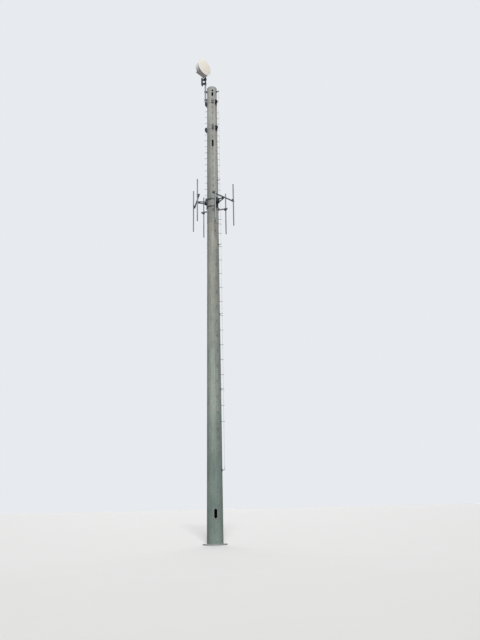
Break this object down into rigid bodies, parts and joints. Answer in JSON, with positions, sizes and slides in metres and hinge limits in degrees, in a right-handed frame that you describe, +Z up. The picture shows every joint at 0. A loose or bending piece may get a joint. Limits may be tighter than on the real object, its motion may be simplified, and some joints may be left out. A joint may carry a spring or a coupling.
{
  "type": "monopole cell tower",
  "caption": "Galvanised monopole cell tower with step pegs, climb cable, empty antenna mounts and a drum dish, bolted down by its base flange.",
  "frame": {"origin": "middle of the underside of the base flange", "axes": "+Z up along the shaft; -Y is the face with the cable ports; +X to the right of it"},
  "size_m": [2.1726, 2.4052, 26.01],
  "materials": {
    "shaft_steel": "weathered galvanised steel",
    "plate_steel": "galvanised steel plate",
    "dark_steel": "dull, dirty galvanised steel",
    "pipe_steel": "galvanised pipe",
    "peg_steel": "galvanised bar",
    "wire_rope": "galvanised wire rope",
    "drum_white": "matt white paint",
    "radome_cream": "coated fabric, stretched",
    "radio_grey": "powder coat"
  },
  "bodies": {
    "root": {"lower_shaft": "shaft_steel", "upper_shaft": "shaft_steel", "top_cap": "shaft_steel", "base_flange": "plate_steel", "entry_port_rim": "plate_steel", "long_port_rim": "plate_steel", "tall_port_rim": "plate_steel", "small_port_rim": "plate_steel", "upper_collar": "plate_steel", "lower_collar": "plate_steel", "mount_bands": "plate_steel", "upper_collar_lugs": "dark_steel", "lower_collar_lugs": "dark_steel", "mount_saddles": "dark_steel", "right_standoff": "dark_steel", "rear_standoff": "dark_steel", "left_standoff": "dark_steel", "pipe_clamps": "dark_steel", "dish_mount": "dark_steel", "dish_pipe_brackets": "dark_steel", "radio_clamps": "dark_steel", "right_face_pipe": "pipe_steel", "rear_face_pipe": "pipe_steel", "left_face_pipe": "pipe_steel", "right_near_antenna_pipe": "pipe_steel", "right_far_antenna_pipe": "pipe_steel", "rear_near_antenna_pipe": "pipe_steel", "rear_far_antenna_pipe": "pipe_steel", "left_near_antenna_pipe": "pipe_steel", "left_far_antenna_pipe": "pipe_steel", "dish_pipe": "pipe_steel", "lower_left_pegs": "peg_steel", "lower_right_pegs": "peg_steel", "upper_front_pegs": "peg_steel", "upper_right_pegs": "peg_steel", "upper_left_pegs": "peg_steel", "lower_peg_sockets": "peg_steel", "upper_peg_sockets": "peg_steel", "cable_foot": "peg_steel", "cable_head": "peg_steel", "cable_guides": "peg_steel", "climb_cable": "wire_rope", "dish_drum": "drum_white", "dish_radome": "radome_cream", "radio_unit": "radio_grey"}
  },
  "joints": []
}
